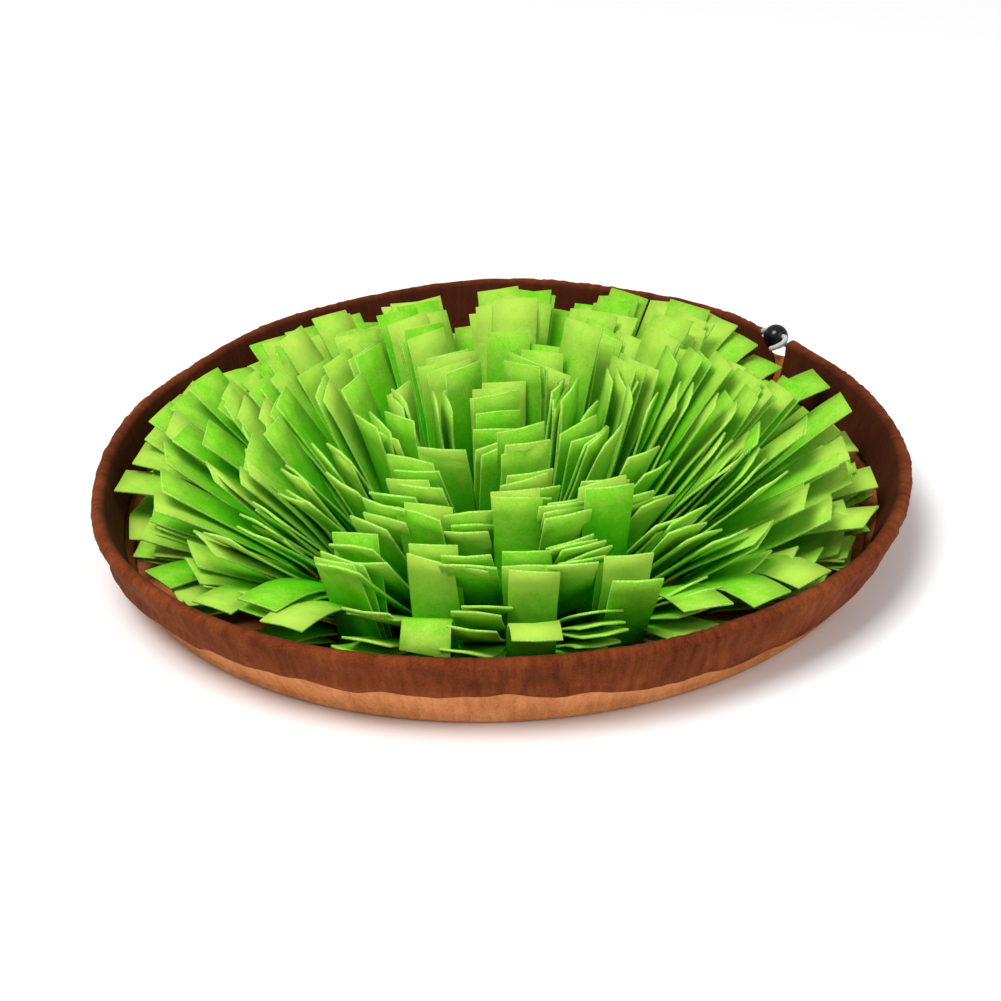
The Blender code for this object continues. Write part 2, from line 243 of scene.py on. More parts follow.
lock_material, lock_shader = new_material("black_gloss_plastic")
lock_shader.inputs["Base Color"].default_value = (*LOCK_BLACK, 1)
lock_shader.inputs["Specular IOR Level"].default_value = 0.35
coordinates = new_node(lock_material, "TexCoord")
scuffs = new_node(lock_material, "TexNoise", Scale=420, Detail=4)
gloss = new_node(lock_material, "MapRange", To_Min=0.1, To_Max=0.26)
link_nodes(
    lock_material,
    (coordinates.outputs["Object"], scuffs.inputs["Vector"]),
    (scuffs.outputs["Fac"], gloss.inputs["Value"]),
    (gloss.outputs["Result"], lock_shader.inputs["Roughness"]),
)

bm = bmesh.new()
bmesh.ops.create_uvsphere(bm, u_segments=48, v_segments=32, radius=BALL_RADIUS)
bmesh.ops.translate(bm, verts=bm.verts, vec=lock_point(0, 0, 0))
mesh = bpy.data.meshes.new("cord_lock_ball")
bm.to_mesh(mesh)
bm.free()
mesh.shade_smooth()
ball = add_piece("cord_lock_ball", mesh, lock_material)
along_edge = Euler((math.pi / 2, 0, math.radians(LOCK_AZIMUTH))).to_matrix().to_4x4()
cutters = []
for side in (1, -1):
    bm = bmesh.new()
    bmesh.ops.create_cone(bm, cap_ends=True, segments=32, radius1=BORE_RADIUS, radius2=BORE_RADIUS,
                          depth=BALL_RADIUS * 3, matrix=along_edge)
    bore_middle = lock_point(0, -BORE_INSET / MM, side * BORE_OFFSET / MM)
    bmesh.ops.translate(bm, verts=bm.verts, vec=bore_middle)
    mesh = bpy.data.meshes.new("bore")
    bm.to_mesh(mesh)
    bm.free()
    cutter = bpy.data.objects.new("bore", mesh)
    bpy.context.scene.collection.objects.link(cutter)
    bore = ball.modifiers.new("bore", "BOOLEAN")
    bore.operation = "DIFFERENCE"
    bore.solver = "EXACT"
    bore.object = cutter
    cutters.append(cutter)
depsgraph = bpy.context.evaluated_depsgraph_get()
bored = bpy.data.meshes.new_from_object(ball.evaluated_get(depsgraph))
ball.modifiers.clear()
ball.data = bored
bored.name = "cord_lock_ball"
bored.shade_smooth()
bored.set_sharp_from_angle(angle=math.radians(40))
for cutter in cutters:
    bpy.data.objects.remove(cutter)
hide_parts("cord_lock")

# ------------------------------------------------------------------ base cloth
# One round of tan suede-like cloth. Its middle lies flat as the tray's floor, and its edge
# stands up as the sloping wall, drawn in by the cord, so the wall gathers a little.
CLOTH = 2.5 * MM
BASE_RADIUS = 206 * MM
WALL_FOOT_HEIGHT = 4.5 * MM
WALL_BULGE = 1.5 * MM
CHANNEL_ABOVE_WALL = 2.8 * MM
NOTCH_DIP = 0.13
NOTCH_REACH = 7
FLOOR_RINGS = (0, 30, 60, 90, 115, 135, 155, 172, 186, 195, 200, 203)
WALL_LEVELS = (0.0, 0.08, 0.16, 0.24, 0.32, 0.4, 0.5, 0.6, 0.7, 0.8, 0.9, 0.97, 1.0)
WALL_START = 209 * MM
WALL_LENGTH = 40 * MM
GATHER_DEPTH = 0.45 * MM
GATHER_WIDTH = 9 * MM
GATHER_DRIFT = 6 * MM
MEAN_RADIUS = 220 * MM
RING_SPACING = 10 * MM
AROUND_BASE = 540
SEAM_SLACK = 0.05
SEAM_REACH = 10
MERGE_DISTANCE = 0.02 * MM
TAN_LIGHT = (0.84, 0.385, 0.155)
TAN_MIDDLE = (0.69, 0.277, 0.101)
TAN_DARK = (0.46, 0.155, 0.049)
# A darker, more orange copy of the tan for the mat's inside: painted shade.
SHADED_INSIDE_LIGHT = (0.66, 0.25, 0.075)
SHADED_INSIDE_MIDDLE = (0.49, 0.16, 0.043)
SHADED_INSIDE_DARK = (0.28, 0.075, 0.018)
INSIDE_SHADE = 0.28
TAN_WRINKLES = 0.8 * MM
# How strongly painted shade darkens the valleys of the tan cloth's pleats.
TAN_CREASE_SHADE = 0.2
NAP_DEPTH = 0.4 * MM
FootRing = namedtuple("FootRing", "radius height")
FOOT_RINGS = (FootRing(204.6, 1.9), FootRing(205.0, 3.2))
Ripple = namedtuple("Ripple", "share count phase")
WALL_RIPPLE = (Ripple(0.5, 9, 0.6), Ripple(0.3, 14, 2.1), Ripple(0.2, 5, 0.0))


def wall_top(azimuth):
    """Where the wall ends, as a share of its full length: it is drawn down under the cord lock."""
    away = abs((azimuth - LOCK_AZIMUTH + 180) % 360 - 180)
    if away > NOTCH_REACH:
        return 1.0
    return 1 - NOTCH_DIP * math.cos(away / NOTCH_REACH * math.pi / 2) ** 2


def waves(ripples, azimuth):
    """Uneven waves round the mat, between -1 and 1, as a sum of even ripples."""
    angle = math.radians(azimuth)
    return sum(ripple.share * math.sin(ripple.count * angle + ripple.phase) for ripple in ripples)


def wall_point(azimuth, along, offset):
    """A point of the wall: along runs from its foot to its top, offset is outward."""
    foot = Vector((BASE_RADIUS - CLOTH / 2, WALL_FOOT_HEIGHT))
    centre = roll_centre(azimuth)
    up = (centre - foot).normalized()
    out = Vector((up.y, -up.x))
    top = centre - up * CHANNEL_ABOVE_WALL
    bulge = WALL_BULGE * math.sin(math.pi * along) * (1 + 0.5 * waves(WALL_RIPPLE, azimuth))
    spot = foot + (top - foot) * along + out * (offset + bulge)
    return polar(azimuth, spot.x, spot.y)


def fine_gather(azimuth, along, width, slope):
    """Fine upright gathers, 0 to 1: creases about as wide as stated, drifting with height."""
    arc = math.radians(azimuth) * MEAN_RADIUS + along * slope
    first = noise.noise(Vector((arc / width, along * 1.3, 7.3)))
    second = noise.noise(Vector((arc / width * 2.3, along * 1.9, 3.1)))
    return min(1.0, abs(first) * 1.5 + abs(second) * 0.6)


def spin_rings(count, start, end, steps):
    """A flat sheet of rings round the axis, one for each place of a profile, still to be shaped."""
    bm = bmesh.new()
    near = bm.verts.new((RING_SPACING, 0, 0))
    for index in range(1, count):
        far = bm.verts.new((RING_SPACING * (index + 1), 0, 0))
        bm.edges.new((near, far))
        near = far
    bmesh.ops.spin(bm, geom=bm.verts[:] + bm.edges[:], cent=(0, 0, 0), axis=(0, 0, 1),
                   angle=math.radians(end - start), steps=steps, use_merge=end - start >= 360)
    bmesh.ops.rotate(bm, verts=bm.verts, cent=(0, 0, 0),
                     matrix=Euler((0, 0, math.radians(start))).to_matrix())
    return bm


def shape_rings(bm, start, lengths, point_at, inside_shade_at):
    """Map the flat rings to their places, with a UV in metres and each corner's painted inside shade."""
    marks = bm.loops.layers.uv.new("UVMap")
    shade = bm.verts.layers.float_color.new("inside")
    spots = {}
    for corner in bm.verts:
        azimuth = math.degrees(math.atan2(corner.co.y, corner.co.x))
        azimuth = (azimuth - start + SEAM_SLACK) % 360 + start - SEAM_SLACK
        ring = round(corner.co.xy.length / RING_SPACING) - 1
        spots[corner] = (azimuth, ring)
    for face in bm.faces:
        wraps = max(spots[corner][0] for corner in face.verts) - start > 360 - SEAM_REACH
        for loop in face.loops:
            azimuth, ring = spots[loop.vert]
            if wraps and azimuth - start < SEAM_REACH:
                azimuth += 360
            loop[marks].uv = (math.radians(azimuth) * MEAN_RADIUS, lengths[ring])
    for corner, (azimuth, ring) in spots.items():
        corner.co = point_at(azimuth, ring)
        depth = inside_shade_at(ring)
        corner[shade] = (depth, depth, depth, 1)


def suede(name, light, middle, dark, wrinkle_depth, crease_shade_depth):
    """Brushed suede-like cloth: a napped surface with soft blotches and fine upright wrinkles,
    and painted shade in the valleys of its pleats, strongest in patches.

    On the mat's inside, as far as each corner is marked, the colour goes towards a much
    darker copy of the dark tone: painted shade."""
    material, shader = new_material(name)
    shader.inputs["Roughness"].default_value = 0.88
    shader.inputs["Specular IOR Level"].default_value = 0.12
    shader.inputs["Sheen Weight"].default_value = 0.06
    shader.inputs["Sheen Roughness"].default_value = 0.45
    shader.inputs["Sheen Tint"].default_value = (*light, 1)
    coordinates = new_node(material, "TexCoord")
    blotches = new_node(material, "TexNoise", Scale=28, Detail=5, Roughness=0.6)
    nap = new_node(material, "TexNoise", Scale=900, Detail=3)
    stretch = new_node(material, "Mapping", Scale=(260, 45, 1))
    wrinkles = new_node(material, "TexNoise", Scale=1, Detail=4, Distortion=0.4)
    soft = math_node(material, "MULTIPLY", 0.25)
    mix_all = math_node(material, "MULTIPLY_ADD", 0.22)
    mix_patches = math_node(material, "MULTIPLY_ADD", 0.45)
    tones = ramp_node(material, (0.36, dark), (0.5, middle), (0.62, light))
    pleat_map = new_node(material, "Mapping", Scale=(190, 28, 1))
    pleats = new_node(material, "TexNoise", Scale=1, Detail=3)
    # Painted shade in the valleys of the pleats, strongest in patches; the ridges keep their tone.
    pleat_valley_shade = ramp_node(
        material, (0.34, (0.42, 0.40, 0.38)), (0.5, (0.74, 0.72, 0.70)), (0.66, (1, 1, 1)),
    )
    where = new_node(material, "TexNoise", Scale=11)
    patchy = new_node(material, "MapRange", From_Min=0.38, From_Max=0.62,
                      To_Min=crease_shade_depth * 0.3, To_Max=crease_shade_depth)
    crease_shade_mix = new_node(material, "Mix")
    crease_shade_mix.data_type = "RGBA"
    crease_shade_mix.blend_type = "MULTIPLY"
    inside = new_node(material, "Attribute")
    inside.attribute_name = "inside"
    inside_shade_mix = new_node(material, "Mix")
    inside_shade_mix.data_type = "RGBA"
    # Painted shade for the mat's inside: a much darker copy of the dark tone.
    inside_shade_mix.inputs["B"].default_value = (*[value * INSIDE_SHADE for value in dark], 1)
    pressed = new_node(material, "Bump", Strength=0.7, Distance=wrinkle_depth)
    folds = new_node(material, "Bump", Strength=0.8, Distance=wrinkle_depth)
    fine = new_node(material, "Bump", Strength=0.5, Distance=NAP_DEPTH)
    link_nodes(
        material,
        (coordinates.outputs["Object"], blotches.inputs["Vector"]),
        (coordinates.outputs["Object"], nap.inputs["Vector"]),
        (coordinates.outputs["UV"], stretch.inputs["Vector"]),
        (stretch.outputs["Vector"], wrinkles.inputs["Vector"]),
        (nap.outputs["Fac"], soft.inputs[0]),
        (wrinkles.outputs["Fac"], mix_all.inputs[0]),
        (soft.outputs["Value"], mix_all.inputs[2]),
        (blotches.outputs["Fac"], mix_patches.inputs[0]),
        (mix_all.outputs["Value"], mix_patches.inputs[2]),
        (mix_patches.outputs["Value"], tones.inputs["Fac"]),
        (inside.outputs["Fac"], inside_shade_mix.inputs["Factor"]),
        (coordinates.outputs["UV"], pleat_map.inputs["Vector"]),
        (pleat_map.outputs["Vector"], pleats.inputs["Vector"]),
        (pleats.outputs["Fac"], pleat_valley_shade.inputs["Fac"]),
        (coordinates.outputs["Object"], where.inputs["Vector"]),
        (where.outputs["Fac"], patchy.inputs["Value"]),
        (patchy.outputs["Result"], crease_shade_mix.inputs["Factor"]),
        (pleat_valley_shade.outputs["Color"], crease_shade_mix.inputs["B"]),
        (pleats.outputs["Fac"], pressed.inputs["Height"]),
        (tones.outputs["Color"], crease_shade_mix.inputs["A"]),
        (crease_shade_mix.outputs["Result"], inside_shade_mix.inputs["A"]),
        (inside_shade_mix.outputs["Result"], shader.inputs["Base Color"]),
        (pressed.outputs["Normal"], folds.inputs["Normal"]),
        (wrinkles.outputs["Fac"], folds.inputs["Height"]),
        (nap.outputs["Fac"], fine.inputs["Height"]),
        (folds.outputs["Normal"], fine.inputs["Normal"]),
        (fine.outputs["Normal"], shader.inputs["Normal"]),
    )
    return material


def base_point(azimuth, ring):
    """Where a ring of the base's middle surface lies."""
    if ring < len(FLOOR_RINGS):
        return polar(azimuth, FLOOR_RINGS[ring] * MM, CLOTH / 2)
    ring -= len(FLOOR_RINGS)
    if ring < len(FOOT_RINGS):
        return polar(azimuth, FOOT_RINGS[ring].radius * MM, FOOT_RINGS[ring].height * MM)
    along = WALL_LEVELS[ring - len(FOOT_RINGS)] * wall_top(azimuth)
    gather = GATHER_DEPTH * fine_gather(azimuth, along, GATHER_WIDTH, GATHER_DRIFT)
    return wall_point(azimuth, along, -gather * min(1, along * 3))


tan_material = suede("tan_suede", TAN_LIGHT, TAN_MIDDLE, TAN_DARK, TAN_WRINKLES, TAN_CREASE_SHADE)
shaded_inside_material = suede("tan_suede_inside_shaded", SHADED_INSIDE_LIGHT, SHADED_INSIDE_MIDDLE, SHADED_INSIDE_DARK,
                        TAN_WRINKLES, TAN_CREASE_SHADE)
lengths = [radius * MM for radius in FLOOR_RINGS]
lengths += [(foot.radius + foot.height) * MM for foot in FOOT_RINGS]
lengths += [WALL_START + level * WALL_LENGTH for level in WALL_LEVELS]
bm = spin_rings(len(lengths), LOCK_AZIMUTH, LOCK_AZIMUTH + 360, AROUND_BASE)
shape_rings(bm, LOCK_AZIMUTH, lengths, base_point, lambda ring: 0.0)
bmesh.ops.remove_doubles(bm, verts=bm.verts, dist=MERGE_DISTANCE)
bmesh.ops.recalc_face_normals(bm, faces=bm.faces)
mesh = bpy.data.meshes.new("tray_cloth")
bm.to_mesh(mesh)
bm.free()
mesh.shade_smooth()
tray = add_piece("tray_cloth", mesh, tan_material, shaded_inside_material)
shell = tray.modifiers.new("cloth_thickness", "SOLIDIFY")
shell.thickness = CLOTH
shell.offset = 0
# The second shell, meant for the mat's inside, takes the darker copy of the tan: painted shade.
shell.material_offset = 1
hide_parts("base_cloth")

# ------------------------------------------------------------------ edge band
# A strip of dark brown suede-like cloth, folded over the wall's top and sewn down on both
# sides, with the drawstring in its fold. Drawn up by the cord, it puckers all the way round.
BAND_CLOTH = 1.5 * MM
LAYER_GAP = 0.8 * MM
INNER_SEAM = 0.40
SEAM_WAVE = 0.055
SCALLOPS = (Ripple(0.55, 27, 0.4), Ripple(0.3, 41, 2.0), Ripple(0.15, 67, 0.0))
PUCKER = 1.3 * MM
PLEAT_THINNESS = 3.4
PLEAT_PATCH = 55 * MM
PLEAT_DRIFT = 4 * MM
BROAD_WAVE = 20 * MM
SLUMP = 1.5
FOLD_LINE = 0.5
FOLD_WANDER = 0.22
FOLD_WIDTH = 0.09
END_PUFF = 0.28
END_REACH = 5
HEM_START = BAND_START - 1.0
START_REACH = 5.0
START_TAPER = 0.3
START_SLANT = 1.8
FLAP = 4.0
FLAP_SWEEP = 0.7
AROUND_BAND = 1200
BAND_OUTER = 12
BAND_ROLL = 11
BAND_INNER = 10
ROW_LENGTH = 2.4 * MM
LIT_ROWS = 5
SHADE_STEP = 0.16
SHADE_MOST = 0.8
BROWN_LIGHT = (0.30, 0.078, 0.022)
BROWN_MIDDLE = (0.215, 0.047, 0.010)
BROWN_DARK = (0.115, 0.020, 0.004)
BROWN_WRINKLES = 1.4 * MM
# How strongly painted shade darkens the valleys of the brown band's pleats.
BROWN_CREASE_SHADE = 0.8
Pleat = namedtuple("Pleat", "width seed share")
PLEATS = (Pleat(5.5 * MM, 7.3, 0.65), Pleat(9 * MM, 1.9, 0.5))
Hem = namedtuple("Hem", "seam gather droop")
HEMS = (
    Hem(0.36, 0.9, 0.2), Hem(0.38, 0.8, 0.2), Hem(0.40, 0.8, 0.2), Hem(0.42, 0.8, 0.2),
    Hem(0.40, 0.8, 0.3), Hem(0.36, 0.7, 0.4), Hem(0.30, 0.6, 0.6), Hem(0.36, 0.4, 1.2),
    Hem(0.58, 0.4, 1.1), Hem(0.57, 0.7, 0.5), Hem(0.36, 1.1, 0.2), Hem(0.24, 1.1, 0.2),
)


def pleats(azimuth, along):
    """How far the gathered cloth stands out: narrow upright pleats in patches, on broader waves."""
    arc = math.radians(azimuth) * MEAN_RADIUS + along * PLEAT_DRIFT
    patch = min(1, max(0, noise.noise(Vector((arc / PLEAT_PATCH, 0, 2.2))) * 1.6 + 0.55))
    ridge = 0.0
    for pleat in PLEATS:
        wander = noise.noise(Vector((arc / pleat.width, along * 1.2, pleat.seed)))
        ridge += pleat.share * max(0, 1 - abs(wander) * PLEAT_THINNESS) ** 1.3
    broad = abs(noise.noise(Vector((arc / BROAD_WAVE, along * 0.8, 5.1))))
    return PUCKER * (ridge * (0.25 + 0.75 * patch) * around(HEMS, "gather", azimuth) + 0.8 * broad)


def band_point(azimuth, ring):
    """Where a ring of the band's middle surface lies: up the outside, over the roll, down the inside."""
    offset = CLOTH / 2 + LAYER_GAP + BAND_CLOTH / 2
    near_start = max(0, 1 - (azimuth - HEM_START) / START_REACH)
    if ring < BAND_OUTER:
        share = ring / BAND_OUTER
        seam = around(HEMS, "seam", azimuth) + SEAM_WAVE * waves(SCALLOPS, azimuth)
        along = seam + (1 - seam) * share
        deep = pleats(azimuth, along) * (0.35 + 0.65 * share)
        droop = around(HEMS, "droop", azimuth) * MM
        line = FOLD_LINE + FOLD_WANDER * math.sin(math.radians(azimuth) * 7 + 1.0)
        fold = math.exp(-((share - line) / FOLD_WIDTH) ** 2)
        slump = droop * (SLUMP * math.sin(math.pi * min(1, share * 1.5)) ** 2 - fold)
        azimuth -= START_SLANT * (1 - along) * near_start
        return wall_point(azimuth, along, offset + deep + max(slump, -deep))
    ring -= BAND_OUTER
    if ring < BAND_ROLL:
        centre = roll_centre(azimuth)
        foot = Vector((BASE_RADIUS - CLOTH / 2, WALL_FOOT_HEIGHT))
        up = (centre - foot).normalized()
        out = Vector((up.y, -up.x))
        turn = ring / (BAND_ROLL - 1)
        near_end = max(0, 1 - (BAND_END - azimuth) / END_REACH)
        puff = 1 + END_PUFF * near_end - START_TAPER * near_start
        deep = pleats(azimuth, 1 + turn * 0.3) * (1 - 0.6 * turn)
        radius = (ROLL_RADIUS - BAND_CLOTH / 2) * puff + deep
        spot = centre + (out * math.cos(math.pi * turn) + up * math.sin(math.pi * turn)) * radius
        return polar(azimuth, spot.x, spot.y)
    ring -= BAND_ROLL
    share = (ring + 1) / BAND_INNER
    seam = INNER_SEAM + SEAM_WAVE * waves(WALL_RIPPLE, azimuth + 11) / 2
    along = 1 - (1 - seam) * share
    deep = pleats(azimuth, 1.3 + share * 0.7) * (0.4 - 0.25 * share)
    flap = FLAP * math.sin(math.pi * FLAP_SWEEP * share ** 0.5)
    azimuth -= (START_SLANT * (1 - along) + flap) * near_start
    return wall_point(azimuth, along, -offset - deep)


brown_material = suede("brown_suede", BROWN_LIGHT, BROWN_MIDDLE, BROWN_DARK,
                       BROWN_WRINKLES, BROWN_CREASE_SHADE)
band_rings = BAND_OUTER + BAND_ROLL + BAND_INNER
lengths = [index * ROW_LENGTH for index in range(band_rings)]
bm = spin_rings(band_rings, HEM_START, BAND_END, AROUND_BAND)
# The band's inner leg gets painted shade, growing row by row after the lit rows over the roll.
shape_rings(bm, HEM_START, lengths, band_point,
            lambda ring: min(SHADE_MOST, max(0, (ring - BAND_OUTER - LIT_ROWS) * SHADE_STEP)))
bmesh.ops.recalc_face_normals(bm, faces=bm.faces)
mesh = bpy.data.meshes.new("gathered_band")
bm.to_mesh(mesh)
bm.free()
mesh.shade_smooth()
band = add_piece("gathered_band", mesh, brown_material)
shell = band.modifiers.new("cloth_thickness", "SOLIDIFY")
shell.thickness = BAND_CLOTH
shell.offset = 0
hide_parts("edge_band")

# ------------------------------------------------------------------ felt strips
# Light green polyester felt, cut into strips 25 mm wide and sewn to the floor through their
# roots in short stacks. The strips stand up in the middle and lie over towards the wall.
STRIP_WIDTH = 25 * MM
FELT = 1.4 * MM
LAYER_SPACE = 0.8 * MM
TAPE_HEIGHT = 2 * MM
TAPE_REST = CLOTH + 0.35 * MM
FIRST_RISE = 3 * MM
PILE_CENTRE = Vector((0, -4 * MM))
DROOP = 6
UNEVEN = 0.12
YAW_UPRIGHT = 9
YAW_FLAT = 15
TWIST = 12
WALL_CLEARANCE = 203 * MM
TRIM_STEP = 1.5 * MM
LAYOUT = 45
FILL_LAYOUT = 3
STRIP_SEED = 9000
FILL_SEED = 500
LOOSE_SEED = 77
FELT_SHOWN = 1.2 * MM
STRIP_ROWS = 9
GROUP_SIZES = (1, 2, 2, 3)
GROUP_PULL = 0.55
TUCKED_SHARE = 0.35
TUCKED_PLACE = 0.4
TUCKED_LENGTH = (0.86, 1.03)
NOTCH_STACKS = {17: 0.82, 36: 0.92}
FRONT_LINE = -100 * MM
OUTER_FILL = 110 * MM
CUT_SLANT = 2.0 * MM
WIDTH_WAVER = 0.015
FELT_FUZZ = 0.5 * MM
WAVE = 2.0 * MM
CURL = (-3.0 * MM, 5.5 * MM)
CUP = (0.2 * MM, 0.9 * MM)
# Painted shade along each strip: its tone starts low at the root and rises towards the tip; a random
# spread gives each strip its own tone.
ROOT_SHADE = 0.08
SHADE_RISE = 0.62
TONE_SPREAD = 0.13
RISE_AT = 0.2
RISE_SHARE = 0.7
ARCH_AT = 0.62
SHEEN_GREEN = (0.45, 0.9, 0.15)
# The felt's greens, from the deep green of the painted shade at the roots to the pale lime of the tips.
GREEN_LIGHT = (0.45, 0.69, 0.085)
GREEN_MIDDLE = (0.14, 0.60, 0.008)
GREEN_DARK = (0.005, 0.50, 0.0015)
GREEN_EDGE = (0.52, 0.80, 0.16)

Ring = namedtuple("Ring", "radius stacks start pages pitch lean_in lean_out reach stray "
                          "pull lift_in lift_out short")
RINGS = (
    Ring(31, 5, 54.0, 4, 6.5, 2, 11, 84, 3, 0.0, 0.0, 0.0, 0.0),
    Ring(64, 11, 18.0, 5, 7.0, 15, 32, 92, 3, 0.4, 0.6, 0.6, 0.3),
    Ring(101, 18, 4.0, 6, 6.0, 35, 54, 94, 3, 0.7, 0.6, 0.6, 0.6),
    Ring(138, 21, 9.0, 5, 6.5, 60, 83, 74, 3, 1.0, 0.6, 0.3, 0.3),
)
Sector = namedtuple("Sector", "turn lift reach")
SECTORS = (
    Sector(16, 1.00, 0.98), Sector(10, 0.96, 1.00), Sector(0, 0.86, 0.98), Sector(0, 0.80, 0.98),
    Sector(0, 0.86, 0.97), Sector(-4, 0.94, 0.99), Sector(-12, 1.00, 1.00), Sector(-18, 0.98, 0.97),
    Sector(-5, 0.76, 0.90), Sector(0, 0.60, 0.86), Sector(5, 0.74, 0.90), Sector(16, 0.97, 0.98),
)
FILL_RINGS = (
    Ring(48, 7, 10.0, 2, 6.5, 8, 16, 86, 16, 0.2, 0.3, 0.3, 0.3),
    Ring(86, 15, 14.0, 2, 6.5, 26, 38, 90, 14, 0.5, 0.6, 0.6, 0.4),
    Ring(124, 21, 17.6, 2, 5.0, 46, 58, 88, 14, 0.9, 0.6, 0.5, 0.4),
    Ring(148, 21, 17.6, 2, 5.0, 66, 78, 62, 10, 0.9, 0.6, 0.5, 0.4),
)
Arc = namedtuple("Arc", "start end")
THIN_PLACES = (Arc(-8, 47), Arc(183, 215))
Stack = namedtuple("Stack", "place face pages pitch lean_in lean_out reach")
Station = namedtuple("Station", "centre across")
PLACED_STACKS = (
    Stack(Vector((0, -4)) * MM, 80, 3, 6 * MM, -7, 8, 80 * MM),
    Stack(Vector((-70, -137)) * MM, 244, 3, 5 * MM, 5, 20, 70 * MM),
    Stack(Vector((-32, -146)) * MM, 259, 2, 6 * MM, 4, 13, 66 * MM),
    Stack(Vector((13, -150)) * MM, 273, 3, 5 * MM, 5, 20, 64 * MM),
    Stack(Vector((57, -143)) * MM, 288, 3, 5 * MM, 10, 32, 62 * MM),
    Stack(Vector((-34, -119)) * MM, 251, 2, 6 * MM, 3, 12, 84 * MM),
    Stack(Vector((9, -124)) * MM, 271, 2, 6 * MM, 1, 10, 86 * MM),
    Stack(Vector((49, -115)) * MM, 290, 2, 6 * MM, 4, 16, 82 * MM),
)
Loose = namedtuple("Loose", "root_x root_y tip_x tip_y tip_z arch face")
LOOSE_STRIPS = (
    Loose(-112, -20, -210, 0, 38, 10, 168), Loose(-112, -8, -201, 20, 45, 10, 162),
    Loose(-112, 32, -186, 52, 54, 14, 160), Loose(-147, -25, -204, -22, 22, 3, 178),
    Loose(-134, -51, -180, -98, 30, 6, 224), Loose(-112, -80, -146, -156, 44, 10, 240),
    Loose(-76, -88, -122, -166, 52, 14, 238), Loose(-76, -94, -122, -164, 46, 12, 240),
    Loose(-69, -106, -109, -187, 50, 12, 245), Loose(-35, -160, -39, -194, 34, 32, 262),
    Loose(13, -163, 16, -212, 47, 22, 272), Loose(122, -52, 196, -84, 40, 8, 337),
    Loose(128, 8, 200, 21, 38, 12, 10), Loose(110, -86, 158, -147, 44, 12, 308),
    Loose(73, -98, 101, -186, 47, 12, 287), Loose(92, -92, 134, -170, 46, 12, 299),
    Loose(125, 55, 190, 80, 48, 10, 22), Loose(135, -28, 205, -34, 38, 8, 355),
    Loose(84, 82, 139, 138, 58, 14, 46), Loose(92, 72, 150, 124, 55, 14, 40),
    Loose(104, 62, 162, 108, 48, 12, 34),
)


def plan_stacks(rings, layout):
    """Where each stack of strips is sewn, which way it leans and how far."""
    stacks = []
    for ring_index, ring in enumerate(rings):
        draw = random.Random(layout * 10 + ring_index)
        for index in range(ring.stacks):
            azimuth = ring.start + 360 * index / ring.stacks
            turn = around(SECTORS, "turn", azimuth) * ring.pull
            lift = around(SECTORS, "lift", azimuth) - 1
            reach = ring.reach * MM * (1 + (around(SECTORS, "reach", azimuth) - 1) * ring.short)
            radius = ring.radius * MM + draw.uniform(-1, 1) * MM
            place = polar(azimuth, radius, 0).xy + PILE_CENTRE
            face = azimuth + turn + draw.uniform(-ring.stray, ring.stray)
            lean_in = ring.lean_in * (1 + lift * ring.lift_in)
            lean_out = ring.lean_out * (1 + lift * ring.lift_out)
            stacks.append(Stack(place, face, ring.pages, ring.pitch * MM, lean_in, lean_out, reach))
    return stacks


def page_stations(root, front, across, lean, reach, rise, yaw, twist):
    """The four cross-sections of one strip: root, bend, middle and tip."""
    up = Vector((0, 0, 1))
    turned = front * math.cos(yaw) + across * math.sin(yaw)
    turned_across = up.cross(turned)
    half = (reach - rise) / 2
    leans = (0.0, math.radians(lean + DROOP * 0.2), math.radians(lean + DROOP * 0.8))
    fronts = (front, turned, turned)
    runs = [way * math.sin(tilt) + up * math.cos(tilt) for way, tilt in zip(fronts, leans)]
    lengths = (rise, half, half)
    sides = (across, turned_across, turned_across)
    stations = [Station(root.copy(), across)]
    centre = root.copy()
    for index, run in enumerate(runs):
        centre = centre + run * lengths[index]
        tangent = (run + runs[min(index + 1, 2)]).normalized()
        normal = sides[index].cross(tangent).normalized()
        turn = twist * (0, 0.4, 1)[index]
        stations.append(Station(centre, sides[index] * math.cos(turn) + normal * math.sin(turn)))
    return stations


def stack_pages(seed, stack):
    """Every strip of one stack, from the innermost to the outermost."""
    draw = random.Random(seed)
    angle = math.radians(stack.face)
    front = Vector((math.cos(angle), math.sin(angle), 0))
    across = Vector((-math.sin(angle), math.cos(angle), 0))
    spread = (stack.lean_out - stack.lean_in) / (stack.pages - 1)
    stray = min(2.0, abs(spread) * 0.4)
    leans = []
    for index in range(stack.pages):
        leans.append(stack.lean_in + spread * index + draw.uniform(-1, 1) * stray)
    lifts = []
    for lean in leans:
        tilt = math.radians(max(lean, 1))
        lifts.append(max(0.0, (FELT + LAYER_SPACE) / math.sin(tilt) - stack.pitch / math.tan(tilt)))
    pages = []
    for index, lean in enumerate(leans):
        reach = stack.reach * (1 + draw.uniform(-UNEVEN, UNEVEN))
        rise = min(FIRST_RISE + sum(lifts[index + 1:]), reach / 2)
        flat = math.sin(math.radians(lean)) ** 2
        yaw = math.radians(YAW_UPRIGHT + (YAW_FLAT - YAW_UPRIGHT) * flat) * draw.uniform(-1, 1)
        twist = math.radians(draw.uniform(-TWIST, TWIST))
        offset = (index - (stack.pages - 1) / 2) * stack.pitch
        root = Vector((*stack.place, TAPE_REST + TAPE_HEIGHT)) + front * offset
        stations = page_stations(root, front, across, lean, reach, rise, yaw, twist)
        while stations[-1].centre.xy.length > WALL_CLEARANCE:
            reach -= TRIM_STEP
            stations = page_stations(root, front, across, lean, reach, rise, yaw, twist)
        pages.append(stations)
    return pages


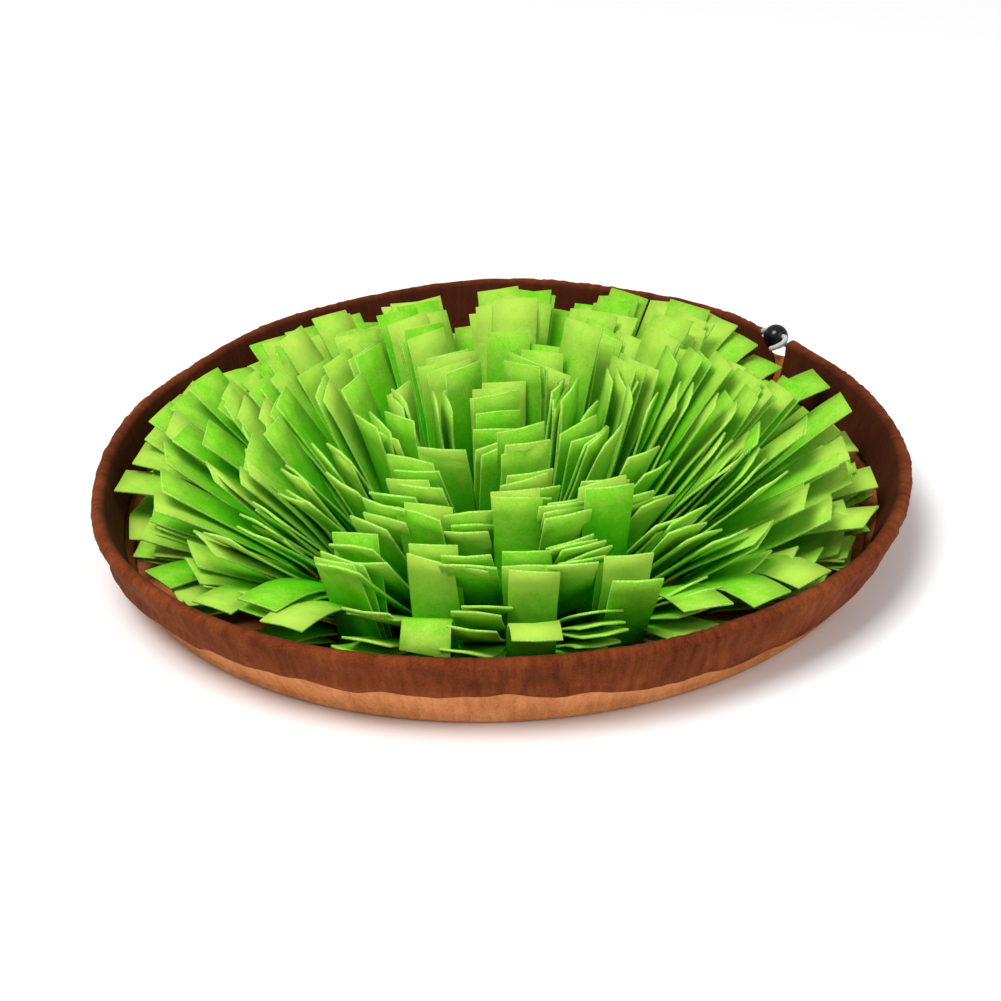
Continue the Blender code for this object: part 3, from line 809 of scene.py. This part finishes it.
def felt():
    """Needled felt: a dull, matted surface of loose fibres, in its own green on each strip, with painted
    shade: darker and greener towards each strip's root.
    """
    material, shader = new_material("green_felt")
    shader.inputs["Roughness"].default_value = 0.95
    shader.inputs["Specular IOR Level"].default_value = 0.03
    shader.inputs["Sheen Weight"].default_value = 0.04
    shader.inputs["Sheen Roughness"].default_value = 0.5
    shader.inputs["Sheen Tint"].default_value = (*SHEEN_GREEN, 1)
    coordinates = new_node(material, "TexCoord")
    tone = new_node(material, "Attribute")
    tone.attribute_name = "tone"
    patches = new_node(material, "TexNoise", Scale=140, Detail=3)
    fibres = new_node(material, "TexNoise", Scale=900, Detail=5, Roughness=0.7, Distortion=1.2)
    add_patches = math_node(material, "MULTIPLY_ADD", 0.35)
    add_fibres = math_node(material, "MULTIPLY_ADD", 0.6)
    centred = math_node(material, "SUBTRACT", 0.475)
    greens = ramp_node(material, (0.2, GREEN_DARK), (0.5, GREEN_MIDDLE), (0.8, GREEN_LIGHT))
    fuzz = new_node(material, "Bump", Strength=0.55, Distance=FELT_FUZZ)
    link_nodes(
        material,
        (coordinates.outputs["Object"], patches.inputs["Vector"]),
        (coordinates.outputs["Object"], fibres.inputs["Vector"]),
        (fibres.outputs["Fac"], add_fibres.inputs[0]),
        (tone.outputs["Fac"], add_fibres.inputs[2]),
        (patches.outputs["Fac"], add_patches.inputs[0]),
        (add_fibres.outputs["Value"], add_patches.inputs[2]),
        (add_patches.outputs["Value"], centred.inputs[0]),
        (centred.outputs["Value"], greens.inputs["Fac"]),
        (greens.outputs["Color"], shader.inputs["Base Color"]),
        (fibres.outputs["Fac"], fuzz.inputs["Height"]),
        (fuzz.outputs["Normal"], shader.inputs["Normal"]),
    )
    return material


def felt_edge():
    """The cut edge of the felt, paler than its faces."""
    material, shader = new_material("green_felt_edge")
    shader.inputs["Roughness"].default_value = 0.95
    shader.inputs["Specular IOR Level"].default_value = 0.1
    coordinates = new_node(material, "TexCoord")
    fibres = new_node(material, "TexNoise", Scale=1300)
    greens = ramp_node(material, (0.3, GREEN_MIDDLE), (0.6, GREEN_EDGE))
    link_nodes(
        material,
        (coordinates.outputs["Object"], fibres.inputs["Vector"]),
        (fibres.outputs["Fac"], greens.inputs["Fac"]),
        (greens.outputs["Color"], shader.inputs["Base Color"]),
    )
    return material


def even_rows(points, count):
    """A line's points set at equal lengths along it."""
    travelled = [0.0]
    for near, far in zip(points, points[1:]):
        travelled.append(travelled[-1] + (far - near).length)
    rows = []
    place = 0
    for index in range(count):
        wanted = travelled[-1] * index / (count - 1)
        while place < len(points) - 2 and travelled[place + 1] < wanted:
            place += 1
        share = (wanted - travelled[place]) / max(travelled[place + 1] - travelled[place], 1e-6)
        rows.append(points[place].lerp(points[place + 1], min(1, share)))
    return rows


def soft_strip(bm, tone_and_shade_layer, stations, draw):
    """One strip as a thin sheet: its root edge is drawn out, row by row, along an eased line."""
    centres = even_rows(smooth_line([station.centre for station in stations], 2), STRIP_ROWS)
    wides = smooth_line([station.across for station in stations], 2)
    tone = draw.uniform(-TONE_SPREAD, TONE_SPREAD)
    wave = draw.uniform(-1, 1) * WAVE
    curl = draw.uniform(*CURL)
    phase = draw.uniform(0, math.tau)
    cup = draw.uniform(*CUP) * draw.choice((-1, 1))
    slant = draw.uniform(-1, 1) * CUT_SLANT
    row = []
    for index, centre in enumerate(centres):
        share = index / (STRIP_ROWS - 1)
        ahead = (centres[min(index + 1, STRIP_ROWS - 1)] - centres[max(index - 1, 0)]).normalized()
        wide = wides[round(share * (len(wides) - 1))].normalized()
        normal = wide.cross(ahead).normalized()
        shift = wave * math.sin(phase + share * 4.2) * min(1, share * 3) - curl * share ** 3
        middle = centre + normal * (shift + cup * share)
        side = wide * STRIP_WIDTH / 2 * (1 + WIDTH_WAVER * math.sin(phase + share * 9))
        cut = ahead * slant * max(0, share * 4 - 3)
        corners = (centre + normal * shift - side - cut, middle, centre + normal * shift + side + cut)
        if index == 0:
            row = [bm.verts.new(corner) for corner in corners]
            bm.edges.new((row[0], row[1]))
            bm.edges.new((row[1], row[2]))
        else:
            edges = [bm.edges.get((row[0], row[1])), bm.edges.get((row[1], row[2]))]
            drawn = bmesh.ops.extrude_edge_only(bm, edges=edges)["geom"]
            fresh = [part for part in drawn if isinstance(part, bmesh.types.BMVert)]
            row = [min(fresh, key=lambda new: (new.co - old.co).length) for old in row]
            for new, corner in zip(row, corners):
                new.co = corner
        # Painted shade: darker towards the root and lighter towards the tip, plus this strip's own tone.
        shade = ROOT_SHADE + SHADE_RISE * min(1, share * 1.15) ** 0.9 + tone
        for corner in row:
            corner[tone_and_shade_layer] = (shade, shade, shade, 1)


def gather_pages(pages, draw, sizes=GROUP_SIZES):
    """The strips of a stack drawn together in small groups, as felt clings to felt."""
    groups = []
    left = list(pages)
    while left:
        count = draw.choice(sizes)
        groups.append(left[:count])
        left = left[count:]
    gathered = []
    for group in groups:
        count = len(group)
        middles = [sum((page[row].centre for page in group), Vector()) / count for row in range(4)]
        wides = [sum((page[row].across for page in group), Vector()) / count for row in range(4)]
        for page in group:
            near = page[:2]
            for index, pull in ((2, GROUP_PULL * 0.8), (3, GROUP_PULL)):
                centre = page[index].centre.lerp(middles[index], pull)
                near.append(Station(centre, page[index].across.lerp(wides[index], pull)))
            gathered.append(near)
    return gathered


def shortened(page, share):
    """One strip at the stated share of its length, with its root kept."""
    bend = page[1].centre
    return page[:2] + [Station(bend + (near.centre - bend) * share, near.across) for near in page[2:]]


def tuck_between(pages, draw):
    """Further strips, each tucked close behind one of a stack."""
    tucked = []
    for inner, outer in zip(pages, pages[1:]):
        length = draw.uniform(*TUCKED_LENGTH)
        if draw.random() < TUCKED_SHARE:
            between = []
            for near, far in zip(inner, outer):
                centre = near.centre.lerp(far.centre, TUCKED_PLACE)
                between.append(Station(centre, near.across.lerp(far.across, TUCKED_PLACE)))
            tucked.append(shortened(between, length))
    return tucked


def loose_stations(strip):
    """The cross-sections of one strip that lies by itself: root, rise, arch and tip."""
    up = Vector((0, 0, 1))
    root = Vector((strip.root_x, strip.root_y, (TAPE_REST + TAPE_HEIGHT) / MM)) * MM
    tip = Vector((strip.tip_x, strip.tip_y, strip.tip_z)) * MM
    angle = math.radians(strip.face + 90)
    across = Vector((math.cos(angle), math.sin(angle), 0))
    line = (
        root, root.lerp(tip, RISE_AT) + up * strip.arch * RISE_SHARE * MM,
        root.lerp(tip, ARCH_AT) + up * strip.arch * MM, tip,
    )
    return [Station(spot, across) for spot in line]


def has_room(stack):
    """Whether a filling stack is wanted: the pile is thin beside the lock and at the left, and
    upright strips stand in its place at the front."""
    if stack.place.length < OUTER_FILL:
        return True
    azimuth = math.degrees(math.atan2(stack.place.y, stack.place.x))
    thin = any(0 < (azimuth - arc.start) % 360 < arc.end - arc.start for arc in THIN_PLACES)
    return stack.place.y > FRONT_LINE and not thin


def finish_strips(name, bm):
    """Make one piece of the strips drawn so far."""
    bmesh.ops.recalc_face_normals(bm, faces=bm.faces)
    mesh = bpy.data.meshes.new(name)
    bm.to_mesh(mesh)
    bm.free()
    mesh.shade_smooth()
    piece = add_piece(name, mesh, felt_material, edge_material)
    shell = piece.modifiers.new("felt_thickness", "SOLIDIFY")
    shell.thickness = FELT_SHOWN
    shell.offset = 0
    shell.material_offset_rim = 1
    return piece


felt_material = felt()
edge_material = felt_edge()
for number, stack in enumerate(plan_stacks(RINGS, LAYOUT)):
    draw = random.Random(STRIP_SEED + number)
    bm = bmesh.new()
    tone_and_shade_layer = bm.verts.layers.float_color.new("tone")
    group_sizes = (stack.pages,) if number in NOTCH_STACKS else GROUP_SIZES
    pages = gather_pages(stack_pages(LAYOUT * 100 + number, stack), draw, group_sizes)
    pages = [shortened(page, NOTCH_STACKS.get(number, 1)) for page in pages]
    for stations in pages + tuck_between(pages, draw):
        soft_strip(bm, tone_and_shade_layer, stations, draw)
    strips = finish_strips("felt_strips_%02d" % (number + 1), bm)
    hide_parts("felt_stack_%02d" % (number + 1))

draw = random.Random(LOOSE_SEED)
bm = bmesh.new()
tone_and_shade_layer = bm.verts.layers.float_color.new("tone")
fillers = [stack for stack in plan_stacks(FILL_RINGS, FILL_LAYOUT) if has_room(stack)]
for number, stack in enumerate(fillers + list(PLACED_STACKS)):
    for stations in gather_pages(stack_pages(FILL_SEED + number, stack), draw):
        soft_strip(bm, tone_and_shade_layer, stations, draw)
for strip in LOOSE_STRIPS:
    soft_strip(bm, tone_and_shade_layer, loose_stations(strip), draw)
finish_strips("felt_strips_between", bm)

# ------------------------------------------------------------------ floor and light
# A plain pale studio floor just under the cloth, and two square lights: a broad soft one from
# above and the left, and a weak one from the right. None of them is part of the mat.
FLOOR_PALE = (0.93, 0.93, 0.93)
FLOOR_REACH = 15
FLOOR_DROP = 0.5 * MM
SKY_STRENGTH = 0.5
Light = namedtuple("Light", "name place size power")
LIGHTS = (
    Light("key", (-1.2, -1.2, 3.7), 2.0, 142),
    Light("fill", (1.3, -0.9, 1.0), 1.2, 6),
)

stage_material, stage_shader = new_material("pale_floor")
stage_shader.inputs["Base Color"].default_value = (*FLOOR_PALE, 1)
stage_shader.inputs["Roughness"].default_value = 0.9
bm = bmesh.new()
bmesh.ops.create_grid(bm, x_segments=1, y_segments=1, size=FLOOR_REACH)
mesh = bpy.data.meshes.new("studio_floor")
bm.to_mesh(mesh)
bm.free()
mesh.materials.append(stage_material)
studio_floor = bpy.data.objects.new("studio_floor", mesh)
bpy.context.scene.collection.objects.link(studio_floor)
studio_floor.location.z = -FLOOR_DROP

world = bpy.data.worlds.new("studio")
world.use_nodes = True
sky = world.node_tree.nodes["Background"]
sky.inputs["Color"].default_value = (1, 1, 1, 1)
sky.inputs["Strength"].default_value = SKY_STRENGTH
bpy.context.scene.world = world

for light in LIGHTS:
    lamp_data = bpy.data.lights.new(light.name, "AREA")
    lamp_data.size = light.size
    lamp_data.energy = light.power
    lamp = bpy.data.objects.new(light.name, lamp_data)
    bpy.context.scene.collection.objects.link(lamp)
    lamp.location = light.place
    lamp.rotation_euler = Vector(light.place).to_track_quat("Z", "Y").to_euler()
bpy.context.scene.view_settings.view_transform = "Standard"
